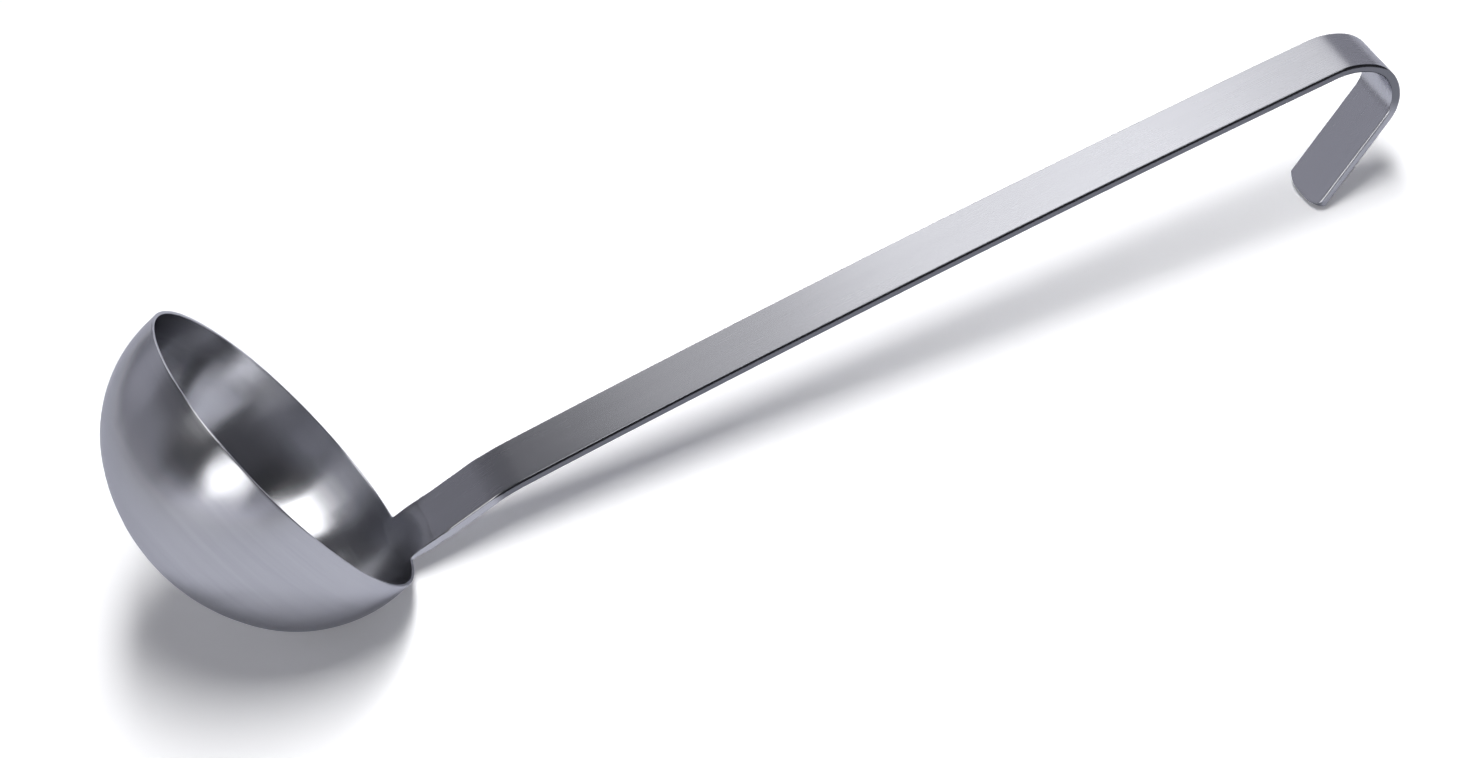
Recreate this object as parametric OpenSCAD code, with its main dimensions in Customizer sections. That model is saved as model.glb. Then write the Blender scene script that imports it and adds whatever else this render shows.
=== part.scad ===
// Soup ladle: a deep-drawn steel bowl and a flat-bar handle that ends in a
// rail hook, joined by a weld that is ground smooth. Millimetres, +Z up.
// The ladle lies on a level surface on the back of its bowl and on the end
// of its hook, with the handle along +X. The origin is below the middle of
// its bounding box, on that surface.

/* [Bowl] */
// Outer diameter of the bowl at the rim
bowl_d = 100; // [96:1:110]
// Outer depth of the bowl from the rim down
bowl_depth = 47; // [45:1:50]
// Wall thickness of the bowl
wall = 1.0; // [0.8:0.1:1.2]
// Radius of the two edges of the rim, which is ground flat
lip_r = 0.25; // [0.2:0.05:0.35]
// Height of the straight band below the rim
band_h = 3; // [2:0.5:5]
// How much less than the drawn depth the shoulder radius is
shoulder_drop = 3; // [2:0.5:5]

/* [Handle bar] */
// Width of the flat bar
bar_w = 20; // [18:1:22]
// Thickness of the flat bar
bar_t = 2.5; // [2:0.1:3]
// Radius of the bar's rolled long edges
edge_r = 0.9; // [0.6:0.1:0.9]
// Distance from the bowl's axis to the middle of the bar's foot
foot_x = 49.2; // [48.9:0.1:49.6]
// Lean of the lower part of the handle, away from the bowl's axis
lean_low = 8.6; // [6:0.2:11]
// Length of the straight lower part
low_len = 25.5; // [20:0.5:32]
// Radius of the bend above the lower part
knee_r = 69; // [50:1:90]
// Lean of the handle just above that bend
lean_mid = 18.6; // [16:0.2:20]
// Length of the long upper part
main_len = 252.6; // [220:0.2:280]
// Lean at the top of the long upper part, which is slightly bowed
lean_top = 21.3; // [20.6:0.1:23]

/* [Hook] */
// Middle radius of the gentle lead-in to the hook
lead_r = 20; // [16:0.5:24]
// Heading at which the lead-in ends and the tight bend starts
lead_end = 54; // [50:1:56]
// Inside radius of the tight bend, the part that hangs on a rail
hook_r = 9.75; // [9:0.25:11]
// Heading of the hook's return leg
hook_end = 165.7; // [164:0.1:170]
// Length of the hook's return leg, to the middle of its end
leg_len = 33.1; // [28:0.1:36]
// Straight middle of the end, the edge that rests on the surface
tip_flat = 6; // [4:0.5:8]
// Radius to which the end is rounded on both sides of that
tip_r = 12; // [10:0.5:20]
// Radius of the end's two corners
tip_corner_r = 2; // [1.5:0.1:3]

/* [Weld] */
// How far the ground weld reaches beyond each edge of the bar
weld_reach = 2; // [1.5:0.1:3]
// Half the height of the weld
weld_h = 1.3; // [1.1:0.1:1.5]

/* [Hidden] */
$fn = 128;

// --- bowl profile: straight band, shoulder arc and bottom arc, all tangent
bowl_r = bowl_d / 2;
draw_h = bowl_depth - band_h;
sh_r = draw_h - shoulder_drop;
sh_x = bowl_r - sh_r;
bot_r = (shoulder_drop * (sh_r + draw_h) + sh_x * sh_x) / (2 * shoulder_drop);
bot_z = bot_r - bowl_depth;
join_a = atan2(bot_z + band_h, sh_x);

// --- centre line of the bar in the plane of symmetry: [x, z], heading from
// the bowl's axis towards the back
function along(p, len, a) = p + len * [sin(a), cos(a)];
function arc_c(p, r, a) = p + r * [cos(a), -sin(a)];
function arc_p(c, r, a) = c - r * [cos(a), -sin(a)];
hook_c = hook_r + bar_t / 2;
p0 = [foot_x, 0];
// The pieces of the bar lap by this much, and differ in section by a hair
lap = 0.05;
hair = 0.01;
// The slight bow of the long part is made of this many straight pieces
main_n = 4;
main_seg = main_len / main_n;
function main_a(i) = lean_mid + (lean_top - lean_mid) * (i + 0.5) / main_n;
function main_p(i) = i == 0 ? p2 : along(main_p(i - 1), main_seg, main_a(i - 1));
p1 = along(p0, low_len, lean_low);
c1 = arc_c(p1, knee_r, lean_low);
p2 = arc_p(c1, knee_r, lean_mid);
p3 = main_p(main_n);
c3 = arc_c(p3, lead_r, lean_top);
p4 = arc_p(c3, lead_r, lead_end);
c4 = arc_c(p4, hook_c, lead_end);
p5 = arc_p(c4, hook_c, hook_end);
p6 = along(p5, leg_len, hook_end);

// --- the lying pose: the bowl's shoulder and the outer edge of the hook's
// end both touch the surface
tip = p6 - bar_t / 2 * [cos(hook_end), -sin(hook_end)];
reach = tip - [sh_x, -band_h];
lie = acos(sh_r / norm(reach)) - atan2(reach[1], reach[0]);
function px(p) = p[0] * sin(lie) + p[1] * cos(lie);
function pz(p) = -p[0] * cos(lie) + p[1] * sin(lie);
floor_z = pz(tip);
low_x = min(px([-sh_x, -band_h]) - sh_r, px([0, bot_z]) - bot_r);
high_x = px(c4) + hook_c + bar_t / 2;
mid_x = (low_x + high_x) / 2;

echo(lie = lie, floor_z = floor_z, low_x = low_x, high_x = high_x);
echo(bottom_arc = bot_r, join = join_a);
echo(hook_axis = [px(c4) - mid_x, 0, pz(c4) - floor_z]);
echo(rim_centre = [px([0, 0]) - mid_x, 0, pz([0, 0]) - floor_z]);

module lay() {
    translate([-mid_x, 0, -floor_z]) rotate([0, 90 - lie, 0]) children();
}

// Half section of the bowl's wall, with its flat lip
module bowl_section() {
    translate([bowl_r - wall, -band_h]) square([wall, band_h - lip_r]);
    translate([bowl_r - wall + lip_r, -band_h]) square([wall - 2 * lip_r, band_h]);
    for (x = [bowl_r - wall + lip_r, bowl_r - lip_r])
        translate([x, -lip_r]) circle(r = lip_r, $fn = 48);
    intersection() {
        difference() {
            translate([sh_x, -band_h]) circle(r = sh_r, $fn = 256);
            translate([sh_x, -band_h]) circle(r = sh_r - wall, $fn = 256);
        }
        polygon([[sh_x, -band_h], [sh_x + 2 * sh_r, -band_h],
                 [sh_x + 2 * sh_r * cos(join_a), -band_h - 2 * sh_r * sin(join_a)]]);
    }
    intersection() {
        difference() {
            translate([0, bot_z]) circle(r = bot_r, $fn = 360);
            translate([0, bot_z]) circle(r = bot_r - wall, $fn = 360);
        }
        polygon([[0, bot_z],
                 [2 * bot_r * cos(join_a), bot_z - 2 * bot_r * sin(join_a)],
                 [0, bot_z - 2 * bot_r]]);
    }
}

module bowl_shape() {
    rotate_extrude($fn = 180) bowl_section();
}

// Section of the bar: x across its thickness, y across its width. Each piece
// laps into the next one, which is a hair larger or smaller all round.
module bar_section(fine) {
    t = bar_t - (fine ? 2 * hair : 0);
    w = bar_w - (fine ? 2 * hair : 0);
    square([t - 2 * edge_r, w], center = true);
    square([t, w - 2 * edge_r], center = true);
    for (sx = [-1, 1], sy = [-1, 1])
        translate([sx * (t / 2 - edge_r), sy * (w / 2 - edge_r)])
            circle(r = edge_r, $fn = 24);
}

// Straight piece of bar from p, heading a
module bar_straight(p, len, a, fine) {
    translate([p[0], p[1], 0]) rotate([0, 0, 90 - a]) rotate([90, 0, 90])
        linear_extrude(height = len) bar_section(fine);
}

// Bent piece of bar round centre c, from heading a to heading b
module bar_bend(c, r, a, b, n, fine) {
    translate([c[0], c[1], 0]) rotate([0, 0, 180 - b])
        rotate_extrude(angle = b - a, $fn = n) translate([r, 0]) bar_section(fine);
}

// Outline of the return leg, x along it and y across it
module leg_outline() {
    f = tip_flat / 2;
    cx = leg_len - tip_r;
    ky = bar_w / 2 - hair - tip_corner_r;
    kx = cx + sqrt(pow(tip_r - 2 * hair - tip_corner_r, 2) - pow(ky - f, 2));
    translate([-5, -bar_w]) square([kx + 5, 2 * bar_w]);
    translate([-5, -f]) square([leg_len + 5, 2 * f]);
    for (s = [-1, 1]) {
        translate([kx, s * ky]) circle(r = tip_corner_r, $fn = 48);
        intersection() {
            translate([cx, s * f]) circle(r = tip_r - hair, $fn = 240);
            polygon([[cx, s * (f - lap)], [cx + 2 * (kx - cx), s * (f - lap)],
                     [cx + 2 * (kx - cx), s * (2 * ky - f)], [cx, s * f]]);
        }
    }
}

module return_leg() {
    intersection() {
        bar_straight(along(p5, -lap, hook_end), leg_len + 1, hook_end, true);
        translate([p5[0], p5[1], 0]) rotate([0, 0, 90 - hook_end]) rotate([90, 0, 0])
            linear_extrude(height = 4 * bar_t, center = true) leg_outline();
    }
}

// The whole bar, drawn flat with its width along z, then stood up. Its foot
// is cut level with the rim.
module handle_shape() {
    rotate([90, 0, 0]) {
        difference() {
            bar_straight(along(p0, -2, lean_low), low_len + 2 + lap, lean_low, true);
            translate([foot_x - 10, -10, -bar_w]) cube([20, 10, 2 * bar_w]);
        }
        bar_bend(c1, knee_r, lean_low, lean_mid, 360, false);
        for (i = [0 : main_n - 1])
            bar_straight(along(main_p(i), -lap, main_a(i)), main_seg + 2 * lap, main_a(i), i % 2 == 0);
        bar_bend(c3, lead_r, lean_top, lead_end + 0.3, 180, true);
        bar_bend(c4, hook_c, lead_end, hook_end, 180, false);
        return_leg();
    }
}

// Bead of weld metal round the foot of the bar, along the rim
module weld_bead() {
    a = asin((bar_w / 2 + weld_reach) / bowl_r);
    rotate([0, 0, -a]) rotate_extrude(angle = 2 * a, $fn = 180)
        polygon([[bowl_r - wall - 0.5, -weld_h], [bowl_r + 0.4, -weld_h],
                 [bowl_r + 0.9, -weld_h / 2], [bowl_r + 0.9, weld_h / 2],
                 [bowl_r + 0.6, weld_h], [bowl_r - wall - 1, weld_h],
                 [bowl_r - wall - 1.5, weld_h / 2], [bowl_r - wall - 1.5, -weld_h / 2]]);
}

// The drawn bowl: one sheet of steel of even thickness with a flat lip
module bowl() {
    color([0.62, 0.64, 0.68]) lay() bowl_shape();
}

// The flat-bar handle, bent at the knee and at the hook
module handle() {
    color([0.74, 0.75, 0.78]) lay() handle_shape();
}

// The weld between the foot of the handle and the rim
module weld_seam() {
    color([0.45, 0.46, 0.50]) lay() difference() {
        weld_bead();
        bowl_shape();
        handle_shape();
    }
}

bowl();
handle();
weld_seam();
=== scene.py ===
import math

import bpy
import numpy as np
from mathutils import Matrix, Vector


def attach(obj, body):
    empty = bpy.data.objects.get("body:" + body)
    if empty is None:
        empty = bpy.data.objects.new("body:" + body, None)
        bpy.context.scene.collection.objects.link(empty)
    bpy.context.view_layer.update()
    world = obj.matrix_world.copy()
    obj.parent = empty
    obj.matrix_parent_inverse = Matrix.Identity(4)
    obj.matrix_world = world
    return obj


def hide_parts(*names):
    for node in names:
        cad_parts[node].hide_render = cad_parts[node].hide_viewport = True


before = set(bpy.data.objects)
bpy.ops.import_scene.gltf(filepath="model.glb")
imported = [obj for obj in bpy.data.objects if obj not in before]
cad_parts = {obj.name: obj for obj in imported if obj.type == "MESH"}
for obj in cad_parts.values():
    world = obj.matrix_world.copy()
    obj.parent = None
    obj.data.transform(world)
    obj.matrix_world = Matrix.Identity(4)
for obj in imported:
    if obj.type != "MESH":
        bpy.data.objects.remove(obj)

scene = bpy.context.scene
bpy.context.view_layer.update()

# ---------------------------------------------------------------------------
# The ladle's own design numbers, in millimetres, as in the CAD source.
# Ladle frame: origin at the middle of the rim, Z along the bowl's axis, X
# towards the handle.
# ---------------------------------------------------------------------------
BOWL_R, DEPTH, WALL, BAND, DROP, LIP_R = 50.0, 47.0, 1.0, 3.0, 3.0, 0.25
BAR_W, BAR_T = 20.0, 2.5
FOOT_X, LEAN_LOW, LOW_LEN = 49.2, 8.6, 25.5
KNEE_R, LEAN_MID, MAIN_LEN, LEAN_TOP = 69.0, 18.6, 252.6, 21.3
LEAD_R, LEAD_END, HOOK_R, HOOK_END, LEG_LEN = 20.0, 54.0, 11.0, 165.7, 33.1
TIP_FLAT, TIP_R, TIP_CORNER = 6.0, 12.0, 2.0

SH_R = DEPTH - BAND - DROP
SH_X = BOWL_R - SH_R
BOT_R = (DROP * (SH_R + DEPTH - BAND) + SH_X * SH_X) / (2 * DROP)
BOT_Z = BOT_R - DEPTH
JOIN_A = math.atan2(BOT_Z + BAND, SH_X)


def step_on(p, length, a):
    return p + length * np.array([math.sin(a), math.cos(a)])


def centre_of(p, r, a):
    return p + r * np.array([math.cos(a), -math.sin(a)])


def on_arc(c, r, a):
    return c - r * np.array([math.cos(a), -math.sin(a)])


R = math.radians
P0 = np.array([FOOT_X, 0.0])
P1 = step_on(P0, LOW_LEN, R(LEAN_LOW))
C1 = centre_of(P1, KNEE_R, R(LEAN_LOW))
P2 = on_arc(C1, KNEE_R, R(LEAN_MID))
MAIN_R = MAIN_LEN / (R(LEAN_TOP) - R(LEAN_MID))
CM = centre_of(P2, MAIN_R, R(LEAN_MID))
P3 = on_arc(CM, MAIN_R, R(LEAN_TOP))
C3 = centre_of(P3, LEAD_R, R(LEAN_TOP))
P4 = on_arc(C3, LEAD_R, R(LEAD_END))
C4 = centre_of(P4, HOOK_R, R(LEAD_END))
P5 = on_arc(C4, HOOK_R, R(HOOK_END))
P6 = step_on(P5, LEG_LEN, R(HOOK_END))

# the lying pose, from the same two contacts as the CAD
TIP = P6 - BAR_T / 2 * np.array([math.cos(R(HOOK_END)), -math.sin(R(HOOK_END))])
REACH = TIP - np.array([SH_X, -BAND])
LIE = math.acos(SH_R / np.linalg.norm(REACH)) - math.atan2(REACH[1], REACH[0])
SL, CL = math.sin(LIE), math.cos(LIE)


def flat_x(p):
    return p[0] * SL + p[1] * CL


def flat_z(p):
    return -p[0] * CL + p[1] * SL


LOW_X = min(flat_x([-SH_X, -BAND]) - SH_R, flat_x([0, BOT_Z]) - BOT_R)
HIGH_X = flat_x(C4) + HOOK_R + BAR_T / 2
MID_X = (LOW_X + HIGH_X) / 2
FLOOR_Z = flat_z(TIP)


def to_frame(p):
    """Ladle frame in mm to the part's frame in metres."""
    p = np.asarray(p, float)
    return np.stack(
        [p[..., 0] * SL + p[..., 2] * CL - MID_X, p[..., 1], -p[..., 0] * CL + p[..., 2] * SL - FLOOR_Z], -1
    ) / 1000.0


def smooth(a, b, x):
    t = np.clip((np.asarray(x, float) - a) / (b - a), 0, 1)
    return t * t * (3 - 2 * t)


# ---------------------------------------------------------------------------
# Mesh helper: rows of points make a skin. Each row is a ring or an open line.
# ---------------------------------------------------------------------------
def build_mesh(name, points, faces, uv=None, marks=None):
    mesh = bpy.data.meshes.new(name)
    mesh.from_pydata([tuple(p) for p in points], [], faces)
    mesh.validate()
    mesh.polygons.foreach_set("use_smooth", [True] * len(mesh.polygons))
    if uv is not None:
        layer = mesh.uv_layers.new(name="grain")
        flat = np.zeros((len(mesh.loops), 2), np.float32)
        k = 0
        for face_uv in uv:
            for c in face_uv:
                flat[k] = c
                k += 1
        layer.data.foreach_set("uv", flat.ravel())
    if marks is not None:
        a = mesh.attributes.new("edge", "FLOAT", "POINT")
        a.data.foreach_set("value", np.asarray(marks, np.float32))
    mesh.update()
    obj = bpy.data.objects.new(name, mesh)
    scene.collection.objects.link(obj)
    return obj


# ---------------------------------------------------------------------------
# Bowl: drawn sheet, turned about its axis
# ---------------------------------------------------------------------------
def bowl_line(inset):
    """Half profile from below the lip down to the axis, inset from the outer
    surface. The band runs into the shoulder and the shoulder into the bottom
    with an evenly changing curvature, as a drawn sheet does."""
    turn_side = JOIN_A
    turn_bottom = math.pi / 2 - JOIN_A
    run = [BAND, SH_R * turn_side, BOT_R * turn_bottom]
    total = sum(run)
    s = np.linspace(0, total, 4001)
    curve = np.where(s < run[0], 0.0, np.where(s < run[0] + run[1], 1 / SH_R, 1 / BOT_R))
    half = 3.2
    step = s[1] - s[0]
    k = np.ones(int(2 * half / step) | 1)
    pad = len(k) // 2
    even = np.convolve(np.concatenate([np.zeros(pad), curve, np.full(pad, 1 / BOT_R)]), k / len(k), "valid")
    even *= (math.pi / 2) / (np.sum(even) * step - 0.5 * step * (even[0] + even[-1]))
    turn = np.concatenate([[0], np.cumsum((even[1:] + even[:-1]) / 2 * step)])
    dx, dz = -np.sin(turn), -np.cos(turn)
    x = BOWL_R + np.concatenate([[0], np.cumsum((dx[1:] + dx[:-1]) / 2 * step)])
    z = np.concatenate([[0], np.cumsum((dz[1:] + dz[:-1]) / 2 * step)])
    x = BOWL_R * (x - x[-1]) / (x[0] - x[-1])
    z = z * (DEPTH / -z[-1])
    x, z = x - inset * np.cos(turn), z + inset * np.sin(turn)
    at = np.concatenate([np.linspace(0.95, 12, 24), np.linspace(12, total, 76)[1:]])
    return np.stack([np.interp(at, s, x), np.interp(at, s, z)], 1)


def arc_points(cx, cz, r, a, b, n):
    t = np.linspace(a, b, n)
    return np.stack([cx + r * np.cos(t), cz - r * np.sin(t)], 1)


def make_bowl():
    seg = 360
    lip = np.vstack(
        [
            arc_points(BOWL_R - LIP_R, -LIP_R, LIP_R, 0, -math.pi / 2, 7),
            arc_points(BOWL_R - WALL + LIP_R, -LIP_R, LIP_R, -math.pi / 2, -math.pi, 7),
        ]
    )
    outside = bowl_line(0.0)[::-1][1:]
    inside = bowl_line(WALL)[:-1]
    prof = np.vstack([outside, lip, inside])
    n = len(prof)
    ang = np.linspace(0, 2 * math.pi, seg, endpoint=False)
    # the drawn wall is very slightly uneven round its circumference, least at
    # the rim and the bottom
    deep = smooth(-0.5, -9, prof[:, 1]) * smooth(3, 22, prof[:, 0])
    wave = 0.55 * np.sin(9 * ang + 0.7) + 0.8 * np.sin(14 * ang + 2.1) + 0.7 * np.sin(23 * ang + 4.0) + 0.35 * np.sin(37 * ang + 1.2)
    away = 1 - np.exp(-((np.minimum(ang, 2 * math.pi - ang) / 0.42) ** 4))
    swell = 0.034 * deep[:, None] * (wave * away)[None, :]
    pts = np.zeros((n, seg, 3))
    pts[..., 0] = (prof[:, None, 0] + swell * 0.9) * np.cos(ang)
    pts[..., 1] = (prof[:, None, 0] + swell * 0.9) * np.sin(ang)
    pts[..., 2] = prof[:, None, 1] - swell * 0.4 * (1 - prof[:, None, 0] / BOWL_R)
    points = list(to_frame(pts.reshape(-1, 3)))
    lo = len(points)
    points += [to_frame(np.array([0, 0, BOT_Z - BOT_R])), to_frame(np.array([0, 0, BOT_Z - BOT_R + WALL]))]
    run = np.concatenate([[0], np.cumsum(np.linalg.norm(np.diff(prof, axis=0), axis=1))]) / 100.0
    faces, uv = [], []
    for i in range(n - 1):
        for j in range(seg):
            k = (j + 1) % seg
            faces.append((i * seg + j, i * seg + k, (i + 1) * seg + k, (i + 1) * seg + j))
            u0, u1 = j / seg, (j + 1) / seg
            uv.append(((u0, run[i]), (u1, run[i]), (u1, run[i + 1]), (u0, run[i + 1])))
    for j in range(seg):
        k = (j + 1) % seg
        u0, u1 = j / seg, (j + 1) / seg
        faces.append((lo, k, j))
        uv.append((((u0 + u1) / 2, -0.01), (u1, run[0]), (u0, run[0])))
        faces.append((lo + 1, (n - 1) * seg + j, (n - 1) * seg + k))
        uv.append((((u0 + u1) / 2, run[-1] + 0.01), (u0, run[-1]), (u1, run[-1])))
    z = prof[:, 1]
    # the top of the lip is marked: the material paints it a little lighter, a painted highlight along the rim, and
    # makes it a little smoother
    edge = np.repeat(smooth(-0.45, -0.15, z), seg)
    marks = np.concatenate([edge, [0, 0]])
    return build_mesh("ladle_bowl", points, faces, uv, marks)


# ---------------------------------------------------------------------------
# Handle: flat bar with rounded edges, swept along the bent centre line
# ---------------------------------------------------------------------------
def edge_line(parts):
    """One long edge from the face round to the side, from pieces of (turn from,
    turn to, radius) or (turn, turn, length). Gives the depth below the face and
    inside the side, at the same number of points for every edge."""
    u, v = [0.0], [0.0]
    for a, b, r in parts:
        for k in range(1, 5):
            t0, t1 = R(a + (b - a) * (k - 1) / 4), R(a + (b - a) * k / 4)
            if a == b:
                u.append(u[-1] + r / 4 * math.sin(t0))
                v.append(v[-1] - r / 4 * math.cos(t0))
            else:
                u.append(u[-1] + r * (math.cos(t0) - math.cos(t1)))
                v.append(v[-1] - r * (math.sin(t1) - math.sin(t0)))
    return np.stack([np.array(u), np.array(v) - v[-1]], 1)


# the lower part was ground with the weld, so its edges are crisp with a small
# chamfer; the rest of the bar keeps its rolled edges
CRISP = edge_line([(0, 28, 0.12), (28, 28, 0.32), (28, 90, 0.18)])
# The chamfer's points, weighted here, are made smoother and painted lighter: a painted highlight along the crisp edges.
BURNISHED_SHEEN = [0, 0, 0.3, 0.8, 1, 1, 1, 1, 0.8, 0.2, 0, 0, 0]
ROLLED = edge_line([(0, 33, 0.35), (33, 60, 1.15), (60, 90, 1.15)])


def section(w, t, roll):
    """Closed section, x through the thickness and y across the width, from
    crisp (roll 0) to rolled (roll 1) edges, and a mark for each point: above 0
    on the rolled edges and the side faces, which the material paints darker as
    painted shade, and below 0 on a burnished chamfer, which it makes smoother
    and paints lighter as a painted highlight."""
    half_w, half_t = w / 2, t / 2
    line = CRISP + (ROLLED - CRISP) * roll
    ring = []
    for i, (sx, sy) in enumerate([(-1, -1), (1, -1), (1, 1), (-1, 1)]):
        pts = [(sx * (half_t - u), sy * (half_w - v)) for u, v in line]
        ring.append(pts if i % 2 == 0 else pts[::-1])
    out, marks = [], []
    for i, pts in enumerate(ring):
        out += pts
        on = [0.0, 0.5] + [1.0] * (len(pts) - 2)
        # above 0: painted shade on the rolled edges; below 0: painted highlight on the chamfer
        edge = [roll * m - (1 - roll) * c for m, c in zip(on, BURNISHED_SHEEN)]
        marks += edge if i % 2 == 0 else edge[::-1]
        p, q = pts[-1], ring[(i + 1) % 4][0]
        n_mid = 3 if i % 2 == 0 else 15
        for t_i in np.linspace(0, 1, n_mid + 2)[1:-1]:
            out.append((p[0] + t_i * (q[0] - p[0]), p[1] + t_i * (q[1] - p[1])))
            # the side faces take the rolled mark too, so painted shade covers the whole side
            marks.append(roll if i % 2 == 0 else 0.0)
    return np.array(out), np.array(marks)


def roll_at(s):
    return float(smooth(LOW_LEN + 1.5, LOW_LEN + 6.0, s))


def centre_line():
    """Stations along the bar: position, heading and run from the foot."""
    st = []
    for s in np.linspace(0.5, LOW_LEN, 14)[:-1]:
        st.append((step_on(P0, s, R(LEAN_LOW)), R(LEAN_LOW), s))
    run = LOW_LEN
    for c, r, a, b, n in (
        (C1, KNEE_R, LEAN_LOW, LEAN_MID, 16),
        (CM, MAIN_R, LEAN_MID, LEAN_TOP, 90),
        (C3, LEAD_R, LEAN_TOP, LEAD_END, 20),
        (C4, HOOK_R, LEAD_END, HOOK_END, 48),
    ):
        for a_i in np.linspace(R(a), R(b), n, endpoint=False):
            st.append((on_arc(c, r, a_i), a_i, run + r * (a_i - R(a))))
        run += r * (R(b) - R(a))
    return st, run


def end_reach(y):
    """How far the end's outline lies back from the end's middle, at width y."""
    y = abs(y)
    f, w = TIP_FLAT / 2, BAR_W / 2
    ky = w - TIP_CORNER
    kx = math.sqrt((TIP_R - TIP_CORNER) ** 2 - (ky - f) ** 2)
    a = math.atan2(ky - f, kx)
    if y <= f:
        return 0.0
    if y <= f + TIP_R * math.sin(a):
        return TIP_R - math.sqrt(TIP_R**2 - (y - f) ** 2)
    return TIP_R - kx - math.sqrt(max(0.0, TIP_CORNER**2 - (y - ky) ** 2))


def wall_mid(z):
    """Radius of the middle of the bowl's wall at height z, and on above the rim."""
    mid_r = SH_R - WALL / 2
    below = np.clip(-(np.minimum(z, 0) + BAND), 0, mid_r)
    return np.where(z > -BAND, BOWL_R - WALL / 2, SH_X + np.sqrt(mid_r**2 - below**2))


JOINT_TOP = 10.0


def joint(y, z):
    """Middle and half thickness, along the thickness of the bar, of the
    ground joint in which the bar runs out into the bowl's wall."""
    y, z = np.abs(np.asarray(y, float)), np.asarray(z, float)
    mid = np.sqrt(wall_mid(z) ** 2 - y**2)
    lip = np.sqrt(np.clip(0.25 * WALL**2 - np.clip(z + WALL / 2, 0, WALL / 2) ** 2, 0, None))
    half = WALL / 2 + (lip - WALL / 2) * smooth(10.2, 11.8, y)
    bowl_in, bowl_out = mid - half, mid + half
    bar_mid = FOOT_X + z * math.tan(R(LEAN_LOW))
    bar_half = BAR_T / 2 / math.cos(R(LEAN_LOW))
    near = 1 - smooth(9.0, 13.0, y)
    u = np.clip((z + 6.0) / 14.5, 0, 1)
    g_in = (1 - np.cos(u * math.pi / 2)) * near
    g_out = smooth(-1.5, 7.0, z) * near
    x_in = bowl_in + g_in * (bar_mid - bar_half - bowl_in)
    x_out = bowl_out + g_out * (bar_mid + bar_half - bowl_out)
    return (x_in + x_out) / 2, (x_out - x_in) / 2


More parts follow.
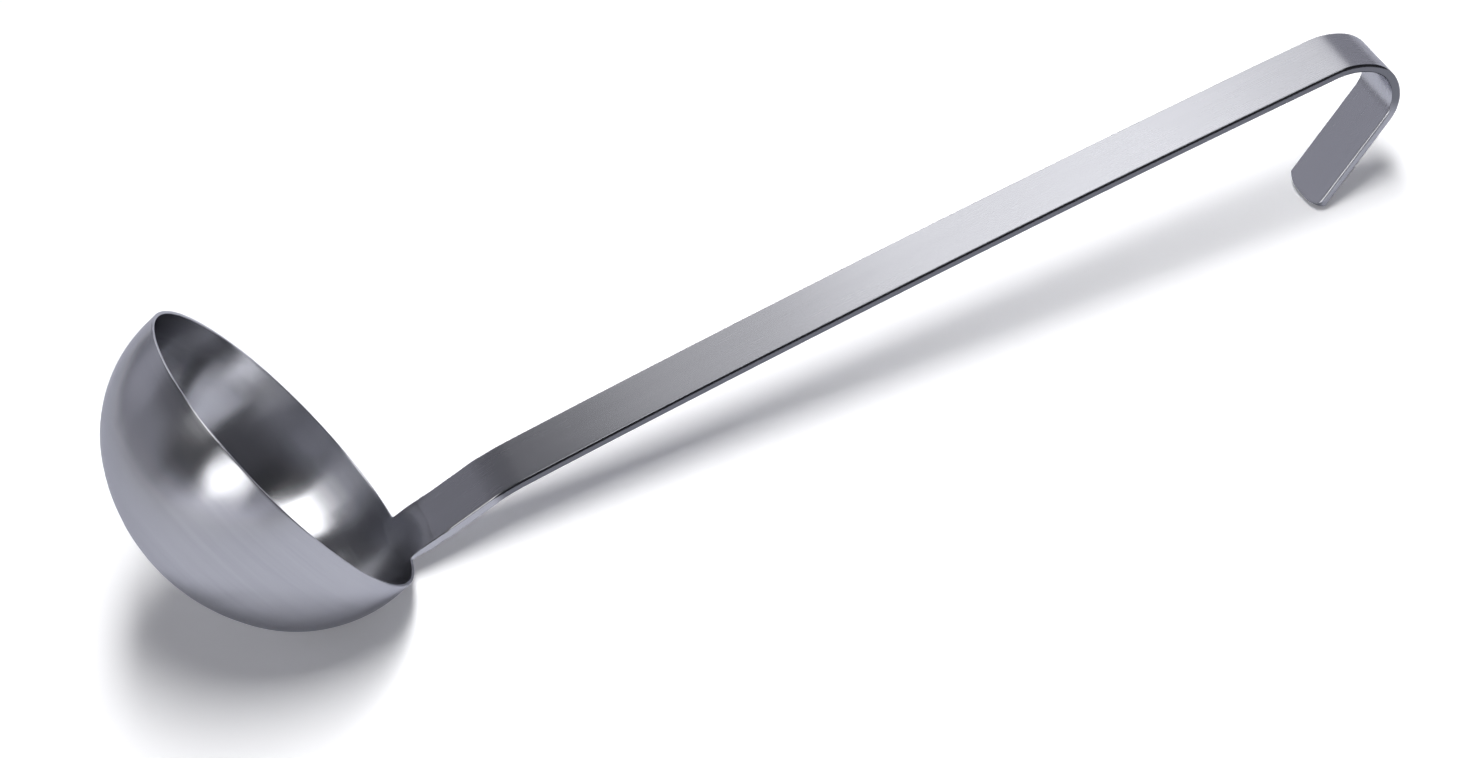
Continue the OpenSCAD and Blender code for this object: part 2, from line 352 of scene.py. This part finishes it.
def make_handle():
    sec, edge = section(BAR_W, BAR_T, 1.0)
    n = len(sec)
    st, run0 = centre_line()
    rows, runs, marks = [], [], []
    for p, a, s in st:
        normal = np.array([math.cos(a), -math.sin(a)])
        at, edge_s = section(BAR_W, BAR_T, roll_at(s))
        # the painted shade on the edges and sides fades to 30 percent over the last 7 mm before the leg
        edge_s = edge_s * (1 - 0.7 * float(smooth(run0 - 7.0, run0, s)))
        if s < JOINT_TOP + 2:
            # inside the joint the foot follows it, a little below its skin
            z = s * math.cos(R(LEAN_LOW))
            sunk = 0.035 * (1 - smooth(JOINT_TOP - 3.2, JOINT_TOP - 0.2, z))
            mid, h = joint(at[:, 1], z)
            row = np.stack([mid + at[:, 0] / (BAR_T / 2) * (h - sunk), at[:, 1] * (1 - sunk / 10), np.full(n, z)], 1)
            rows.append(row)
        else:
            rows.append([(p[0] + q[0] * normal[0], q[1], p[1] + q[0] * normal[1]) for q in at])
        runs.append([s] * n)
        marks.append(edge_s)
    # return leg, whose far rows follow the rounded end
    a = R(HOOK_END)
    normal = np.array([math.cos(a), -math.sin(a)])
    back = np.array([end_reach(q[1]) for q in sec])
    straight = LEG_LEN - 9.0
    levels = [("flat", s) for s in np.linspace(0, straight, 12)] + [("end", s) for s in np.linspace(0.12, 1.0, 10)]
    round_r = 0.45
    for kind, s in levels:
        along = np.full(n, s) if kind == "flat" else straight + s * (9.0 - round_r - back)
        row = []
        for q, l in zip(sec, along):
            p = step_on(P5, l, a)
            row.append((p[0] + q[0] * normal[0], q[1], p[1] + q[0] * normal[1]))
        rows.append(row)
        runs.append([run0 + l for l in along])
        # the leg's edges and sides carry 30 percent of the painted shade
        marks.append(edge * 0.3)
    # the end face, rounded over at its rim
    for t in np.radians([22, 45, 67, 90]):
        row = []
        shrink = round_r * (1 - math.cos(t))
        for q, bk in zip(sec, back):
            x = q[0] * (1 - shrink / (BAR_T / 2))
            y = q[1] * (1 - shrink / (BAR_W / 2))
            l = LEG_LEN - bk - round_r + round_r * math.sin(t)
            p = step_on(P5, l, a)
            row.append((p[0] + x * normal[0], y, p[1] + x * normal[1]))
        rows.append(row)
        runs.append([run0 + LEG_LEN] * n)
        # the end face carries 30 percent of the painted shade all over
        marks.append(np.full(n, 0.3))
    m = len(rows)
    points = list(to_frame(np.array(rows).reshape(-1, 3)))
    perim = np.concatenate([[0], np.cumsum(np.linalg.norm(np.diff(np.vstack([sec, sec[:1]]), axis=0), axis=1))]) / 100.0
    faces, uv = [], []
    for i in range(m - 1):
        for j in range(n):
            k = (j + 1) % n
            faces.append((i * n + j, i * n + k, (i + 1) * n + k, (i + 1) * n + j))
            uv.append(
                (
                    (runs[i][j] / 100, perim[j]),
                    (runs[i][k] / 100, perim[j + 1]),
                    (runs[i + 1][k] / 100, perim[j + 1]),
                    (runs[i + 1][j] / 100, perim[j]),
                )
            )

    # the foot's face, inside the joint, and the end face, as a strip of quads
    # between its two long sides
    faces.append(tuple(range(n))[::-1])
    uv.append([(0.0, perim[j]) for j in range(n)][::-1])
    base = (m - 1) * n

    def outward(j):
        return (round(sec[j][1], 5), abs(sec[j][0]) if sec[j][1] < 0 else -abs(sec[j][0]))

    low = sorted([j for j in range(n) if sec[j][0] < -1e-6], key=outward)
    high = sorted([j for j in range(n) if sec[j][0] > 1e-6], key=outward)
    first = [j for j in range(n) if abs(sec[j][0]) <= 1e-6 and sec[j][1] < 0]
    last = [j for j in range(n) if abs(sec[j][0]) <= 1e-6 and sec[j][1] > 0]
    strips = [(low[i], high[i], high[i + 1], low[i + 1]) for i in range(len(low) - 1)]
    strips += [(first[0], high[0], low[0]), (last[0], low[-1], high[-1])]
    for strip in strips:
        faces.append(tuple(base + j for j in strip))
        uv.append([(run0 / 100, sec[j][1] / 100) for j in strip])
    return build_mesh("ladle_handle", points, faces, uv, np.concatenate(marks))


# ---------------------------------------------------------------------------
# Weld: the ground joint in which the bar's faces run out into the bowl's wall
# ---------------------------------------------------------------------------
def make_weld():
    flare, side = 0.9, 14.5
    z_low = -7.5
    # outline on one side, from the bottom up: (half width, height)
    outline = [(side, z) for z in np.linspace(z_low, -0.9, 26)]
    outline += [(y, -0.9 + 0.30 * (side - y) / (side - 12.0)) for y in np.linspace(side, 12.0, 9)[1:]]
    for t in np.linspace(0, 1, 16)[1:]:
        a = t * math.pi / 2
        outline.append((BAR_W / 2 + flare * (1 - math.sin(a)) + 1.1 * (1 - t) ** 2, flare * (1 - math.cos(a)) - 0.60 * (1 - t) ** 2))
    outline += [(BAR_W / 2, z) for z in np.linspace(flare, JOINT_TOP, 30)[1:]]
    outline = np.array(outline)
    k_n = len(outline)
    mids = np.interp(np.arange(k_n), [0, 25, 33, 48, k_n - 1], [z_low, -2.4, -1.4, 0.9, JOINT_TOP])
    at, edge = section(BAR_W, BAR_T, 0.0)
    n = len(at)
    s, q = at[:, 1] / (BAR_W / 2), at[:, 0] / (BAR_T / 2)
    rows = []
    for (y_b, z_b), z_m in zip(outline, mids):
        y = y_b * s
        z = z_m + (z_b - z_m) * np.abs(s) ** 5
        mid, h = joint(y, z)
        # the skin dips below the bowl and the bar at the joint's limits
        dip = np.maximum(smooth(-4.5, z_low, z) * 0.06, smooth(12.2, side, np.abs(y)) * 0.12)
        dip = np.maximum(dip, smooth(JOINT_TOP - 3.2, JOINT_TOP, z) * 0.03)
        h = h + 0.012 - dip
        grow = 0.012 - 0.03 * smooth(JOINT_TOP - 3.2, JOINT_TOP, z)
        rows.append(np.stack([mid + q * h, y * (1 + grow / 10), z], 1))
    points = list(to_frame(np.array(rows).reshape(-1, 3)))
    faces, uv = [], []
    for i in range(k_n - 1):
        for j in range(n):
            k = (j + 1) % n
            faces.append((i * n + j, i * n + k, (i + 1) * n + k, (i + 1) * n + j))
            uv.append([(rows[a][b][1] / 100, rows[a][b][2] / 100 + 0.5 * (at[b][0] > 0)) for a, b in ((i, j), (i, k), (i + 1, k), (i + 1, j))])
    faces.append(tuple(range(n))[::-1])
    uv.append([(rows[0][j][2] / 100, rows[0][j][1] / 100) for j in range(n)][::-1])
    faces.append(tuple((k_n - 1) * n + j for j in range(n)))
    uv.append([(rows[-1][j][2] / 100, rows[-1][j][1] / 100) for j in range(n)])
    return build_mesh("ladle_weld", points, faces, uv, np.tile(edge, k_n))


bowl = make_bowl()
handle = make_handle()
weld = make_weld()


# ---------------------------------------------------------------------------
# Materials
# ---------------------------------------------------------------------------
class Nodes:
    def __init__(self, name):
        self.mat = bpy.data.materials.new(name)
        self.mat.use_nodes = True
        self.tree = self.mat.node_tree
        self.tree.nodes.clear()
        self.out = self.add("ShaderNodeOutputMaterial")

    def add(self, kind, **props):
        node = self.tree.nodes.new(kind)
        for k, v in props.items():
            setattr(node, k, v)
        return node

    def link(self, a, b):
        self.tree.links.new(a, b)

    def mapping(self, vector, scale, offset=(0, 0, 0)):
        m = self.add("ShaderNodeMapping")
        m.inputs["Scale"].default_value = scale
        m.inputs["Location"].default_value = offset
        self.link(vector, m.inputs["Vector"])
        return m.outputs["Vector"]

    def noise(self, vector, scale=1.0, detail=3.0, rough=0.5):
        t = self.add("ShaderNodeTexNoise")
        t.inputs["Scale"].default_value = scale
        t.inputs["Detail"].default_value = detail
        t.inputs["Roughness"].default_value = rough
        self.link(vector, t.inputs["Vector"])
        return t.outputs["Fac"]

    def spread(self, value, a, b, c, d):
        m = self.add("ShaderNodeMapRange")
        for name, v in zip(("From Min", "From Max", "To Min", "To Max"), (a, b, c, d)):
            m.inputs[name].default_value = v
        self.link(value, m.inputs["Value"])
        return m.outputs["Result"]

    def math(self, op, a, b):
        m = self.add("ShaderNodeMath", operation=op)
        for i, v in enumerate((a, b)):
            if isinstance(v, (int, float)):
                m.inputs[i].default_value = v
            else:
                self.link(v, m.inputs[i])
        return m.outputs[0]

    def mix(self, fac, a, b):
        m = self.add("ShaderNodeMix", data_type="RGBA")
        self.link(fac, m.inputs[0])
        for sock, v in ((m.inputs[6], a), (m.inputs[7], b)):
            if isinstance(v, tuple):
                sock.default_value = (*v, 1)
            else:
                self.link(v, sock)
        return m.outputs[2]


def steel(name, dark, light, rough, aniso, around, grain_across, grain_along, bump, cloud=14.0, spread=0.05, rim=(0.62, 0.623, 0.65), edge_shade_and_sheen=0.3, polish=0.03):
    """Satin stainless steel. The grain runs along U of the map, which follows
    the bar's length or the bowl's circumference."""
    n = Nodes(name)
    b = n.add("ShaderNodeBsdfPrincipled")
    b.inputs["Metallic"].default_value = 1.0
    b.inputs["IOR"].default_value = 2.2
    b.inputs["Anisotropic"].default_value = aniso
    b.inputs["Anisotropic Rotation"].default_value = 0.25
    b.inputs["Specular Tint"].default_value = (0.72, 0.72, 0.75, 1)
    n.link(b.outputs["BSDF"], n.out.inputs["Surface"])
    uvm = n.add("ShaderNodeUVMap", uv_map="grain").outputs["UV"]
    pos = n.add("ShaderNodeTexCoord").outputs["Object"]
    tangent = n.add("ShaderNodeTangent", direction_type="UV_MAP", uv_map="grain")
    n.link(tangent.outputs["Tangent"], b.inputs["Tangent"])
    if around:
        # grain wrapped round the bowl: the same on both ends of the seam
        sep = n.add("ShaderNodeSeparateXYZ")
        n.link(uvm, sep.inputs[0])
        turn = n.math("MULTIPLY", sep.outputs["X"], 2 * math.pi)
        c = n.math("MULTIPLY", n.math("COSINE", turn, 0.0), grain_along)
        s = n.math("MULTIPLY", n.math("SINE", turn, 0.0), grain_along)
        v = n.math("MULTIPLY", sep.outputs["Y"], grain_across)
        comb = n.add("ShaderNodeCombineXYZ")
        for o, i in ((c, 0), (s, 1), (v, 2)):
            n.link(o, comb.inputs[i])
        fine_at = comb.outputs[0]
    else:
        fine_at = n.mapping(uvm, (grain_along, grain_across, 1))
    fine = n.noise(fine_at, 1.0, 4.0, 0.65)
    soft = n.noise(n.mapping(fine_at, (0.35, 0.13, 0.13), (3.1, 1.7, 0.4)), 1.0, 2.0, 0.5)
    clouds = n.noise(pos, cloud, 3.0, 0.5)
    spots = n.noise(n.mapping(pos, (1, 1, 1), (0.4, 0.2, 0.9)), cloud * 9, 4.0, 0.6)
    edge_at = n.add("ShaderNodeAttribute", attribute_name="edge").outputs["Fac"]
    edge = n.math("MAXIMUM", edge_at, 0.0)
    shine = n.math("MAXIMUM", n.math("MULTIPLY", edge_at, -1.0), 0.0)
    tone = n.math("ADD", n.math("MULTIPLY", fine, 0.40), n.math("MULTIPLY", clouds, 0.35))
    tone = n.math("ADD", tone, n.math("MULTIPLY", soft, 0.25))
    tone = n.spread(tone, 0.35, 0.65, 0.0, 1.0)
    colour = n.mix(tone, dark, light)
    # Edges marked above 0 are mixed towards rim by the given amount: painted shade on the bar's rolled edges and sides,
    # and a painted highlight on the bowl's lip.
    colour = n.mix(n.math("MULTIPLY", edge, edge_shade_and_sheen), colour, rim)
    # Burnished chamfers (marked below 0) are mixed towards light grey, which is a painted highlight; their lower
    # roughness follows below.
    n.link(n.mix(shine, colour, (0.80, 0.80, 0.82)), b.inputs["Base Color"])
    r = n.spread(fine, 0.25, 0.75, rough - spread, rough + spread)
    r = n.math("ADD", r, n.spread(spots, 0.3, 0.7, -0.3 * spread, 0.3 * spread))
    r = n.math("ADD", r, n.spread(clouds, 0.3, 0.7, -0.02, 0.02))
    r = n.math("SUBTRACT", r, n.math("MULTIPLY", edge, polish))
    r = n.math("SUBTRACT", r, n.math("MULTIPLY", shine, 0.12))
    n.link(r, b.inputs["Roughness"])
    bp = n.add("ShaderNodeBump")
    bp.inputs["Strength"].default_value = bump
    bp.inputs["Distance"].default_value = 0.00003
    n.link(n.math("ADD", fine, n.math("MULTIPLY", soft, 0.5)), bp.inputs["Height"])
    n.link(bp.outputs["Normal"], b.inputs["Normal"])
    return n.mat


# The handle's rolled edges and sides are painted dark grey at full strength: painted shade standing in for the dark
# reflections along them.
handle_mat = steel("ladle_handle_steel", (0.54, 0.543, 0.572), (0.576, 0.579, 0.61), 0.265, 0.60, False, 240.0, 2.4, 0.05, spread=0.015, rim=(0.20, 0.204, 0.222), edge_shade_and_sheen=1.0, polish=0.08)
bowl_mat = steel("ladle_bowl_steel", (0.515, 0.520, 0.552), (0.59, 0.592, 0.618), 0.235, 0.74, True, 300.0, 1.6, 0.06, spread=0.02)
weld_mat = steel("ladle_weld_steel", (0.53, 0.533, 0.562), (0.58, 0.583, 0.614), 0.25, 0.45, False, 120.0, 30.0, 0.07, spread=0.015)

for obj, node, mat, slot in (
    (bowl, "bowl", bowl_mat, "bowl_steel"),
    (handle, "handle", handle_mat, "handle_steel"),
    (weld, "weld_seam", weld_mat, "weld_steel"),
):
    obj.data.materials.append(mat)
    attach(obj, "root")
    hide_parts(node)


# ---------------------------------------------------------------------------
# Camera, at the photograph's viewing angle
# ---------------------------------------------------------------------------
FOCAL_PX, WIDTH_PX = 4185.3056, 1480.0
T = np.array([-122.9564, 18.5882, 1131.2966])
ROT = np.array(
    [
        [0.6060336654, -0.3178526845, 0.7291727281],
        [0.5293393856, -0.5230883113, -0.6679658925],
        [0.5937364830, 0.7907896620, -0.1487571819],
    ]
)
eye = to_frame(-ROT.T @ T)
LAY = np.array([[SL, 0, CL], [0, 1, 0], [-CL, 0, SL]])
right, down, ahead = ROT @ LAY.T
cam_data = bpy.data.cameras.new("camera")
cam_data.sensor_width = 36.0
cam_data.lens = FOCAL_PX / WIDTH_PX * 36.0
cam_data.clip_start, cam_data.clip_end = 0.05, 60.0
cam = bpy.data.objects.new("camera", cam_data)
scene.collection.objects.link(cam)
m = Matrix.Identity(4)
for i in range(3):
    m[i][0], m[i][1], m[i][2], m[i][3] = right[i], -down[i], -ahead[i], eye[i]
cam.matrix_world = m
scene.camera = cam

# ---------------------------------------------------------------------------
# Stage and light
# ---------------------------------------------------------------------------
FLOOR_SEEN = 1.05
floor_mesh = bpy.data.meshes.new("floor")
ring = [(40 * math.cos(a), 40 * math.sin(a), 0.0) for a in np.linspace(0, 2 * math.pi, 97)[:-1]]
floor_mesh.from_pydata(ring, [], [tuple(range(96))])
floor = bpy.data.objects.new("floor", floor_mesh)
scene.collection.objects.link(floor)
fn = Nodes("floor_paper")
f_pos = fn.add("ShaderNodeTexCoord").outputs["Object"]
f_far = fn.add("ShaderNodeVectorMath", operation="LENGTH")
fn.link(f_pos, f_far.inputs[0])
far = fn.spread(f_far.outputs["Value"], 0.45, 1.3, 0.0, 1.0)


def paper(colour, glow):
    d = fn.add("ShaderNodeBsdfDiffuse")
    d.inputs["Color"].default_value = (*colour, 1)
    e = fn.add("ShaderNodeEmission")
    e.inputs["Color"].default_value = (1, 1, 1, 1)
    fn.link(fn.spread(far, 0.0, 1.0, 0.12, glow), e.inputs["Strength"])
    both = fn.add("ShaderNodeAddShader")
    fn.link(d.outputs[0], both.inputs[0])
    fn.link(e.outputs[0], both.inputs[1])
    return both.outputs[0]


f_mix = fn.add("ShaderNodeMixShader")
fn.link(fn.add("ShaderNodeLightPath").outputs["Is Camera Ray"], f_mix.inputs[0])
fn.link(paper((0.58, 0.59, 0.655), 0.45), f_mix.inputs[1])
fn.link(paper((FLOOR_SEEN, FLOOR_SEEN, FLOOR_SEEN * 1.01), 1.0), f_mix.inputs[2])
fn.link(f_mix.outputs[0], fn.out.inputs["Surface"])
floor_mesh.materials.append(fn.mat)


def softbox(name, centre, target, w, h, strength, colour=(1, 1, 1)):
    data = bpy.data.lights.new(name, "AREA")
    data.shape = "RECTANGLE"
    data.size, data.size_y = w, h
    data.energy = strength * w * h * math.pi
    data.color = colour
    o = bpy.data.objects.new(name, data)
    o.location = centre
    o.rotation_mode = "QUATERNION"
    o.rotation_quaternion = (Vector(target) - Vector(centre)).to_track_quat("-Z", "Y")
    scene.collection.objects.link(o)
    return o


# the key throws the floor's soft shadows and the cards give the steel its
# reflections
softbox("key", (0.20, -0.06, 1.35), (-0.06, 0.0, 0.03), 1.3, 0.36, 14.2).visible_glossy = False
for name, centre, target, w, h, strength in (
    ("top", (0.15, -0.07, 1.0), (0.15, -0.07, 0.0), 0.74, 0.48, 3.5),
    ("top_left", (-0.55, -0.24, 1.0), (-0.55, -0.24, 0.0), 0.58, 0.40, 0.8),
    ("back_a", (-0.04, 0.95, 0.80), (0.00, 0.0, 0.05), 0.16, 0.90, 0.56),
    ("back_b", (0.12, 0.95, 0.80), (0.06, 0.0, 0.05), 0.16, 0.90, 1.28),
    ("back_c", (0.27, 0.95, 0.80), (0.10, 0.0, 0.06), 0.14, 0.90, 1.36),
    ("back_d", (0.52, 0.95, 0.80), (0.16, 0.0, 0.07), 0.36, 0.90, 0.86),
    ("left", (-1.0, -0.98, 0.68), (-0.15, 0.0, 0.04), 0.66, 0.54, 2.8),
):
    softbox(name, centre, target, w, h, strength).visible_diffuse = False

world = bpy.data.worlds.new("studio")
scene.world = world
world.use_nodes = True
wt = world.node_tree
wt.nodes.clear()


def wnode(kind, **props):
    node = wt.nodes.new(kind)
    for k, v in props.items():
        setattr(node, k, v)
    return node


def wmath(op, a, b):
    node = wnode("ShaderNodeMath", operation=op)
    for i, v in enumerate((a, b)):
        if isinstance(v, (int, float)):
            node.inputs[i].default_value = v
        else:
            wt.links.new(v, node.inputs[i])
    return node.outputs[0]


def wstep(value, a, b, c, d):
    node = wnode("ShaderNodeMapRange", interpolation_type="SMOOTHSTEP")
    for name, v in zip(("From Min", "From Max", "To Min", "To Max"), (a, b, c, d)):
        node.inputs[name].default_value = v
    wt.links.new(value, node.inputs["Value"])
    return node.outputs["Result"]


w_sep = wnode("ShaderNodeSeparateXYZ")
wt.links.new(wnode("ShaderNodeTexCoord").outputs["Generated"], w_sep.inputs[0])
wx, wy, wz = w_sep.outputs
# walls: dark on the near side, mid grey on the left and the back, darker
# above, with a dark gap on the left
side = wstep(wmath("SUBTRACT", wmath("MULTIPLY", wy, 1.0), wmath("MULTIPLY", wx, 0.7)), -0.55, 0.35, 0.08, 0.30)
walls = wmath("MULTIPLY", side, wstep(wz, 0.45, 0.85, 1.0, 0.22))


def towards(az, el):
    c = (math.cos(R(az)) * math.cos(R(el)), math.sin(R(az)) * math.cos(R(el)), math.sin(R(el)))
    return wmath("ADD", wmath("ADD", wmath("MULTIPLY", wx, c[0]), wmath("MULTIPLY", wy, c[1])), wmath("MULTIPLY", wz, c[2]))


gap = wstep(towards(-160, 28), math.cos(R(30)), math.cos(R(8)), 1.0, 0.15)
glow = wmath("MULTIPLY", wstep(towards(-142, 0), math.cos(R(50)), math.cos(R(22)), 0.0, 0.85), wstep(wz, 0.05, 0.36, 1.0, 0.0))
for az, el, wide, narrow, much in ((95, 38, 17, 5, 0.50), (126, 24, 20, 7, 1.5), (48, 19, 22, 6, 1.4)):
    walls = wmath("MULTIPLY", walls, wstep(towards(az, el), math.cos(R(wide)), math.cos(R(narrow)), 1.0, much))
light = wmath("MAXIMUM", wmath("MULTIPLY", walls, gap), glow)
w_tint = wnode("ShaderNodeCombineColor")
for i, k in enumerate((0.94, 0.945, 1.07)):
    wt.links.new(wmath("MULTIPLY", light, k), w_tint.inputs[i])
w_bg = wnode("ShaderNodeBackground")
wt.links.new(w_tint.outputs[0], w_bg.inputs[0])
w_bg.inputs[1].default_value = 1.0
w_pale = wnode("ShaderNodeBackground")
w_pale.inputs[0].default_value = (0.99, 0.99, 1.0, 1)
w_pale.inputs[1].default_value = 1.0
w_mix = wnode("ShaderNodeMixShader")
wt.links.new(wnode("ShaderNodeLightPath").outputs["Is Camera Ray"], w_mix.inputs[0])
wt.links.new(w_bg.outputs[0], w_mix.inputs[1])
wt.links.new(w_pale.outputs[0], w_mix.inputs[2])
wt.links.new(w_mix.outputs[0], wnode("ShaderNodeOutputWorld").inputs[0])

scene.view_settings.view_transform = "Standard"
scene.view_settings.look = "None"
scene.view_settings.exposure = 0.0
scene.view_settings.gamma = 1.0
